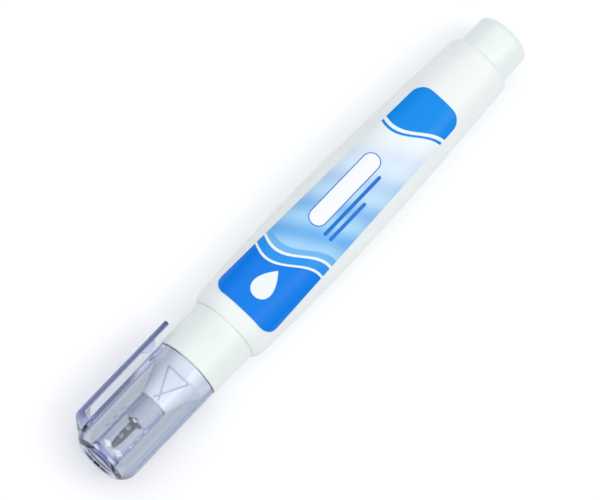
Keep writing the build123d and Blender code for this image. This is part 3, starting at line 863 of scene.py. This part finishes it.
def clear_styrene():
    """Moulded clear styrene plastic, its blue tint deeper where the way through it is long."""
    material, tree = new_material("clear_styrene")
    place = add(tree, "ShaderNodeTexCoord").outputs["Object"]
    arrow = arrow_mask(tree, place)
    flow = add(tree, "ShaderNodeTexNoise", {"Vector": place, "Scale": 1 / (4 * MM), "Detail": 1.0})
    # the grey-blue on the arrow's lines is painted shade
    colours = {SHARE: arrow, FIRST: linear("FFFFFF"), SECOND: linear("B2BCD2")}
    tint = add(tree, "ShaderNodeMix", colours, data_type="RGBA")
    polished = add(tree, "ShaderNodeMapRange", {"Value": flow, "To Min": 0.0, "To Max": 0.03})
    gloss = {0: arrow, 1: ARROW_ROUGHNESS, 2: polished}
    gloss = add(tree, "ShaderNodeMath", gloss, operation="MULTIPLY_ADD")
    bump = add(tree, "ShaderNodeBump", {"Height": flow, "Distance": 0.003 * MM, "Strength": 1.0})
    shader = add(
        tree,
        "ShaderNodeBsdfPrincipled",
        {"Base Color": tint, "Roughness": gloss, "IOR": 1.5, "Transmission Weight": 1.0, "Normal": bump},
    )
    tinted = add(tree, "ShaderNodeVolumeAbsorption", {"Color": linear("5A86F0"), "Density": 110.0})
    add(tree, "ShaderNodeOutputMaterial", {"Surface": shader, "Volume": tinted})
    return material


# Rings that the lathe leaves on the nozzle, drawn coarser than the real ones, so that they show
LATHE_PITCH = 0.3 * MM
WAVE_FACTOR = 20 / (2 * math.pi)  # bands per metre of a wave texture with a scale of one


def nickel_plate():
    """Nickel plate on the turned brass nozzle, with rings from the lathe. Its almost neutral grey is painted
    far darker than nickel, as painted shade for the nozzle that sits inside the cap.
    """
    material, tree = new_material("nickel_plate")
    place = add(tree, "ShaderNodeTexCoord").outputs["Object"]
    rings = add(
        tree,
        "ShaderNodeTexWave",
        {"Vector": place, "Scale": 1 / (WAVE_FACTOR * LATHE_PITCH), "Distortion": 0.4, "Detail": 1.0},
        bands_direction="X",
    ).outputs["Fac"]
    # dark grey of painted shade, darker than nickel's own colour
    sockets = {"Base Color": linear("545254"), "Metallic": 1.0}
    finish(tree, rings, smooth=0.1, rough=0.22, depth=0.004 * MM, sockets=sockets)
    return material


def stainless_steel():
    """Drawn and ground stainless steel of the needle, spring and ball: cool grey with fine scratches.

    The scratches run along the pen, and are drawn coarser than the real ones, so that they show.
    """
    material, tree = new_material("stainless_steel")
    place = add(tree, "ShaderNodeTexCoord").outputs["Object"]
    along = add(tree, "ShaderNodeMapping", {"Vector": place, "Scale": (0.15, 1.0, 1.0)})
    scratches = add(tree, "ShaderNodeTexNoise", {"Vector": along, "Scale": 1 / (0.12 * MM), "Detail": 3.0})
    sockets = {"Base Color": linear("BFC2C6"), "Metallic": 1.0}
    finish(tree, scratches, smooth=0.15, rough=0.35, depth=0.002 * MM, sockets=sockets)
    return material


# Print on the label, in millimetres along the label from its front end and across it from its middle
PRINT_EDGE = 0.06  # softness of a printed edge
RIPPLE_SLANT = 0.6  # how far the pale bands lean along the label for each step across it
RIPPLE_LENGTH = 8.5
FADE_START = 24.0  # where the pale bands start to fade into white, and where they are gone
FADE_END = 60.0
BARS = (  # middle along and across, half length, half height, colour
    (36.0, 1.9, 11.0, 2.3, "1B74D2"),
    (36.0, 1.9, 10.75, 2.05, "FAFDFD"),
    (34.4, -1.9, 9.4, 0.42, "1B74D2"),
    (31.0, -3.6, 6.0, 0.42, "1B74D2"),
)
WAVE_HEIGHT = 3.0
WAVE_LENGTH = 24.0
WAVE_SHIFT = 0.5  # radians
FRONT_BANDS = (  # painted in turn, each on all that lies in front of its edge
    (20.2, "72B9F3"),
    (18.6, "F4FAFB"),
    (17.9, "2A97EF"),
    (15.6, "F4FAFB"),
    (15.0, "0080EA"),
)
REAR_BANDS = (  # painted in turn, each on all that lies behind its edge
    (56.2, "008EEC"),
    (56.9, "F6FBFA"),
    (57.8, "008EEC"),
)
DROP_START = 4.0
DROP_LENGTH = 8.0
DROP_HALF = 2.6
DROP_FULLNESS = 2.6  # brings the drop's widest place out to its half width


def printed_ground(tree, along, across):
    """Pale azure bands that lean across the label and fade into white towards its tail."""
    slant = add(tree, "ShaderNodeMath", {0: across, 1: RIPPLE_SLANT, 2: along}, operation="MULTIPLY_ADD")
    ripple = add(tree, "ShaderNodeMath", {0: slant, 1: 2 * math.pi / RIPPLE_LENGTH}, operation="MULTIPLY")
    ripple = add(tree, "ShaderNodeMath", {0: ripple}, operation="SINE")
    pale = blended(tree, ripple, -1.0, 1.0, linear("74B8F1"), linear("A6D9F9"))
    return blended(tree, slant, FADE_START, FADE_END, pale, linear("F6FBFA"), rise="SMOOTHSTEP")


def printed_bars(tree, paper, colour):
    """Plain bars with round ends, printed over the given colour."""
    for middle_along, middle_across, half_length, half_height, code in BARS:
        apart = run_distance(tree, paper, (middle_along, middle_across, 0), half_length - half_height)
        start, end = half_height + PRINT_EDGE, half_height - PRINT_EDGE
        colour = blended(tree, apart, start, end, colour, linear(code))
    return colour


def printed_bands(tree, along, across, colour):
    """Azure blocks at the label's two ends, each with a wavy edge and thin lines along it."""
    turn = 2 * math.pi / WAVE_LENGTH
    wave = add(tree, "ShaderNodeMath", {0: across, 1: turn, 2: WAVE_SHIFT}, operation="MULTIPLY_ADD")
    wave = add(tree, "ShaderNodeMath", {0: wave}, operation="SINE")
    wave = add(tree, "ShaderNodeMath", {0: wave, 1: WAVE_HEIGHT, 2: along}, operation="MULTIPLY_ADD")
    for soft, bands in ((-PRINT_EDGE, FRONT_BANDS), (PRINT_EDGE, REAR_BANDS)):
        for edge, code in bands:
            colour = blended(tree, wave, edge - soft, edge + soft, colour, linear(code))
    return colour


def printed_drop(tree, along, across, colour):
    """White drop on the front block, round at the front and pointed behind."""
    span = {"Value": along, "From Min": DROP_START, "From Max": DROP_START + DROP_LENGTH}
    share = add(tree, "ShaderNodeMapRange", span)
    root = add(tree, "ShaderNodeMath", {0: share, 1: 0.5}, operation="POWER")
    rest = add(tree, "ShaderNodeMath", {0: 1.0, 1: share}, operation="SUBTRACT")
    swell = add(tree, "ShaderNodeMath", {0: root, 1: rest}, operation="MULTIPLY")
    outside = {0: swell, 1: -DROP_FULLNESS * DROP_HALF}
    outside[2] = add(tree, "ShaderNodeMath", {0: across}, operation="ABSOLUTE")
    outside = add(tree, "ShaderNodeMath", outside, operation="MULTIPLY_ADD")
    return blended(tree, outside, 0.0, -2 * PRINT_EDGE, colour, linear("F4FAFB"))


def printed_film():
    """Polypropylene film printed in azure under a satin varnish, lying in faint ripples on its glue."""
    material, tree = new_material("printed_film")
    place = add(tree, "ShaderNodeTexCoord").outputs["Object"]
    start = (-label_low.x / MM, -axis_y / MM, 0)
    scale = (1 / MM, 1 / MM, 0)
    paper = add(tree, "ShaderNodeMapping", {"Vector": place, "Location": start, "Scale": scale})
    split = add(tree, "ShaderNodeSeparateXYZ", {0: paper}).outputs
    along, across = split["X"], split["Y"]
    colour = printed_ground(tree, along, across)
    colour = printed_bars(tree, paper, colour)
    colour = printed_bands(tree, along, across, colour)
    colour = printed_drop(tree, along, across, colour)
    ripples = add(tree, "ShaderNodeTexNoise", {"Vector": place, "Scale": 1 / (7 * MM), "Detail": 2.0})
    sockets = {"Base Color": colour, "IOR": 1.49, "Specular IOR Level": 0.2}
    finish(tree, ripples, smooth=0.2, rough=0.32, depth=0.02 * MM, sockets=sockets)
    return material


# Table
TABLE_REACH = 4.0
TABLE_LEVEL = -0.02 * MM
TABLE_GLOW = 0.2


def white_table():
    """Matt white table. A little glow, for what looks at it and not for the light, makes it read as white."""
    material, tree = new_material("white_table")
    path = add(tree, "ShaderNodeLightPath").outputs
    seen = {0: path["Is Camera Ray"], 1: path["Is Glossy Ray"]}
    seen = add(tree, "ShaderNodeMath", seen, operation="ADD")
    seen = add(tree, "ShaderNodeMath", {0: seen, 1: path["Is Transmission Ray"]}, operation="MAXIMUM")
    glow = add(tree, "ShaderNodeMath", {0: seen, 1: TABLE_GLOW}, operation="MULTIPLY")
    shader = add(
        tree,
        "ShaderNodeBsdfPrincipled",
        {
            "Base Color": linear("EFF0F0"),
            "Roughness": 0.9,
            "Specular IOR Level": 0.0,
            "Emission Color": linear("FFFFFF"),
            "Emission Strength": glow,
        },
    )
    add(tree, "ShaderNodeOutputMaterial", {"Surface": shader})
    return material


# Glowing card on the table, seen only through the clear cap, that paints light and shade into it:
# painted light under the cap, a ring of painted shade at its sides, and white further out
CARD_REACH = 40 * MM
CARD_LEVEL = -0.01 * MM
CARD_SHIFT = 1 * MM  # towards the clip, which stands over the ring's inner edge
CARD_BRIGHT = 7.0 * MM  # distances from the ring's own axis
CARD_DARK = 10.5 * MM
CARD_DARK_END = 15 * MM
CARD_WHITE = 26 * MM
CARD_FADE = 5 * MM  # length over which the ring narrows, short of the clip's bump
CARD_STRIP = 10.4 * MM  # where what is left of the ring ends there, under the clip's strip
CARD_STRIP_FADE = 1 * MM
card_middle = (cap_end + cap_mouth) / 2
card_half = (cap_mouth - cap_end) / 2


def painted_light_and_shade_card():
    """Card that glows evenly with painted light and shade. Seen through the clear cap, it paints the cap's
    dark sides round a light middle.
    """
    material, tree = new_material("painted_light_and_shade_card")
    place = add(tree, "ShaderNodeTexCoord").outputs["Object"]
    middle = (card_middle, axis_y + CARD_SHIFT, 0)
    apart = run_distance(tree, place, middle, card_half)
    split = add(tree, "ShaderNodeVectorMath", {0: place, 1: middle}, operation="SUBTRACT")
    split = add(tree, "ShaderNodeSeparateXYZ", {0: split}).outputs
    along, across = split["X"], split["Y"]
    # pale and deep blue-grey of the ring of painted shade, and white beyond it
    pale, deep, white = linear("A2ABBE"), linear("5C6888"), linear("F2F3F3")
    dark = blended(tree, across, -CAP_RADIUS, CAP_RADIUS, pale, deep, rise="SMOOTHSTEP")
    bump_start = card_half - BUMP_INSET - BUMP_RADIUS
    by_bump = {"Value": along, "From Min": bump_start - CARD_FADE, "From Max": bump_start}
    by_bump = add(tree, "ShaderNodeMapRange", by_bump, interpolation_type="SMOOTHSTEP")
    past_strip = {"Value": across, "From Min": CARD_STRIP, "From Max": CARD_STRIP + CARD_STRIP_FADE}
    past_strip = add(tree, "ShaderNodeMapRange", past_strip, interpolation_type="SMOOTHSTEP")
    under_bump = add(tree, "ShaderNodeMath", {0: by_bump, 1: past_strip}, operation="MULTIPLY")
    dark = add(tree, "ShaderNodeMix", {SHARE: under_bump, FIRST: dark, SECOND: white}, data_type="RGBA")
    # painted light under the cap, then the ring of painted shade, then white
    colour = blended(tree, apart, CARD_BRIGHT, CARD_DARK, linear("C8D0CB"), dark, rise="SMOOTHSTEP")
    colour = blended(tree, apart, CARD_DARK_END, CARD_WHITE, colour, white, rise="SMOOTHSTEP")
    glow = add(tree, "ShaderNodeEmission", {"Color": colour, "Strength": 1.0})
    add(tree, "ShaderNodeOutputMaterial", {"Surface": glow})
    return material


def dress(piece, material, body, slot, *nodes):
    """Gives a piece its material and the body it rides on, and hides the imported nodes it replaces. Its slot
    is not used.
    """
    piece.data.materials.clear()
    piece.data.materials.append(material)
    if body:
        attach(piece, body)
    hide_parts(*nodes)


def sheet(name, middle, half, height, material):
    """Flat square that belongs to the stage."""
    mesh = bpy.data.meshes.new(name)
    corners = ((-1, -1), (1, -1), (1, 1), (-1, 1))
    mesh.from_pydata([(middle + x * half, y * half, height) for x, y in corners], [], [(0, 1, 2, 3)])
    mesh.materials.append(material)
    flat = bpy.data.objects.new(name, mesh)
    bpy.context.scene.collection.objects.link(flat)
    return flat


def softbox(name, place, width, power):
    """Square area lamp that faces the pen."""
    lamp = bpy.data.lights.new(name, "AREA")
    lamp.size = width
    lamp.energy = power
    holder = bpy.data.objects.new(name, lamp)
    holder.location = place
    holder.rotation_mode = "QUATERNION"
    holder.rotation_quaternion = (-Vector(place)).to_track_quat("-Z", "Y")
    bpy.context.scene.collection.objects.link(holder)
    return holder


# Room light, by height over the horizon, from nought to one straight up
ROOM_UP = (0, -0.1, 0.995)  # the ceiling leans, so that the clip's side of the pen is the darker one
HORIZON = 0.15
CEILING = 0.75


def light_room():
    """Bright ceiling over a dark blue-grey horizon, which gives the clear cap its dark edges."""
    world = bpy.data.worlds.new("studio")
    world.use_nodes = True
    world.node_tree.nodes.clear()
    bpy.context.scene.world = world
    tree = world.node_tree
    way = add(tree, "ShaderNodeTexCoord").outputs["Generated"]
    height = add(tree, "ShaderNodeVectorMath", {0: way, 1: ROOM_UP}, operation="DOT_PRODUCT")
    dusk, day = linear("5A6288"), linear("FFFFFF")
    room = blended(tree, height, HORIZON, CEILING, dusk, day, rise="SMOOTHSTEP")
    sky = add(tree, "ShaderNodeBackground", {"Color": room, "Strength": 1.1})
    add(tree, "ShaderNodeOutputWorld", {"Surface": sky})


# Camera, over the pen and leaning towards its cap, turned so that the pen lies across the picture
CAMERA_DISTANCE = 1.15
CAMERA_LEAN = math.radians(13)
CAMERA_ROLL = math.radians(2.5)
PEN_ANGLE = math.radians(46.21)
AIM_RIGHT = -1.05 * MM
AIM_UP = -0.94 * MM
PHOTO_WIDTH = 600
FOCAL_PIXELS = 5129
SENSOR_WIDTH = 36  # millimetres, as Blender takes it
NEAREST_SEEN = 0.05
FURTHEST_SEEN = 20


def place_camera():
    """Camera at the photograph's viewing angle, aimed near the middle of the pen."""
    back = Vector(
        (
            -math.sin(CAMERA_LEAN),
            -math.sin(CAMERA_ROLL) * math.cos(CAMERA_LEAN),
            math.cos(CAMERA_ROLL) * math.cos(CAMERA_LEAN),
        )
    )
    pen_way = Vector((1, 0, 0)) - back * back.x
    pen_way.normalize()
    side_way = back.cross(pen_way)
    right = pen_way * math.cos(PEN_ANGLE) - side_way * math.sin(PEN_ANGLE)
    up = pen_way * math.sin(PEN_ANGLE) + side_way * math.cos(PEN_ANGLE)
    aim = Vector((0, axis_y, axis_z)) + right * AIM_RIGHT + up * AIM_UP
    lens = bpy.data.cameras.new("camera")
    lens.sensor_width = SENSOR_WIDTH
    lens.lens = FOCAL_PIXELS * SENSOR_WIDTH / PHOTO_WIDTH
    lens.clip_start = NEAREST_SEEN
    lens.clip_end = FURTHEST_SEEN
    camera = bpy.data.objects.new("camera", lens)
    turn = Matrix((right, up, back)).transposed().to_4x4()
    camera.matrix_world = Matrix.Translation(aim + back * CAMERA_DISTANCE) @ turn
    bpy.context.scene.collection.objects.link(camera)
    bpy.context.scene.camera = camera


# The pen
polyethylene = white_polyethylene()
polypropylene = white_polypropylene()
steel = stainless_steel()
dress(make_barrel(), polyethylene, "pen", "barrel_plastic", "barrel")
dress(make_label(), printed_film(), "pen", "label_film", "front_label")
dress(make_front_section(), polypropylene, "pen", "fitting_plastic", "front_section")
dress(make_tail_plug(), polypropylene, "pen", "fitting_plastic", "tail_plug")
dress(make_metal_tip(), nickel_plate(), "pen", "nickel_plate", "metal_tip")

spring = make_spring()
dress(spring, steel, "pen", "stainless_steel", "valve_spring")
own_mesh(spring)

cap = fuse(make_cap_shell(), make_clip_strip(), make_clip_web(), make_clip_bump())
dress(cap, clear_styrene(), None, "clear_plastic", "cap_shell", "pocket_clip")
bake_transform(cap)

for node, material in (
    ("valve_needle", steel),
    ("mixing_ball", steel),
    ("spring_retainer", polypropylene),
):
    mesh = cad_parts[node].data
    mesh.materials.clear()
    mesh.materials.append(material)

# The stage
sheet("table", 0, TABLE_REACH, TABLE_LEVEL, white_table())
# Glowing card of painted light and shade, seen only through the clear cap
card = sheet("painted_light_and_shade_card", card_middle, CARD_REACH, CARD_LEVEL, painted_light_and_shade_card())
card.visible_camera = False
card.visible_diffuse = False
card.visible_glossy = False
card.visible_shadow = False

# Lamps, with places and widths in metres and power in watts
softbox("key_softbox", place=(0.35, -0.55, 0.85), width=0.5, power=1.2)
side_fill = softbox("clip_side_fill", place=(0.1, 0.75, 0.5), width=0.6, power=0.6)
side_fill.visible_glossy = False  # lifts the clip's side of the white plastic and gives no glints
side_fill.visible_transmission = False
cap_fill = softbox("cap_fill", place=(-0.55, -0.1, 0.85), width=0.8, power=5.0)
cap_fill.visible_diffuse = False  # lights only what stands inside the clear cap
cap_fill.visible_glossy = False
glinting = bpy.data.collections.new("glinting")
glinting.objects.link(cap)
for name, place, width, power in (
    ("near", (-0.26, -0.47, 0.755), 0.4, 3.8),
    ("far", (-0.26, 0.24, 0.85), 0.4, 3.8),
    ("low_near", (-0.9, -0.32, 0.16), 0.3, 2.4),
    ("low_far", (-0.9, 0.4, 0.16), 0.3, 2.4),
):
    glint = softbox("cap_glint_" + name, place, width, power)
    glint.light_linking.receiver_collection = glinting
    glint.visible_transmission = False  # gives the clear cap its bright spots and is not seen through it

light_room()
place_camera()
bpy.context.scene.view_settings.view_transform = "Standard"
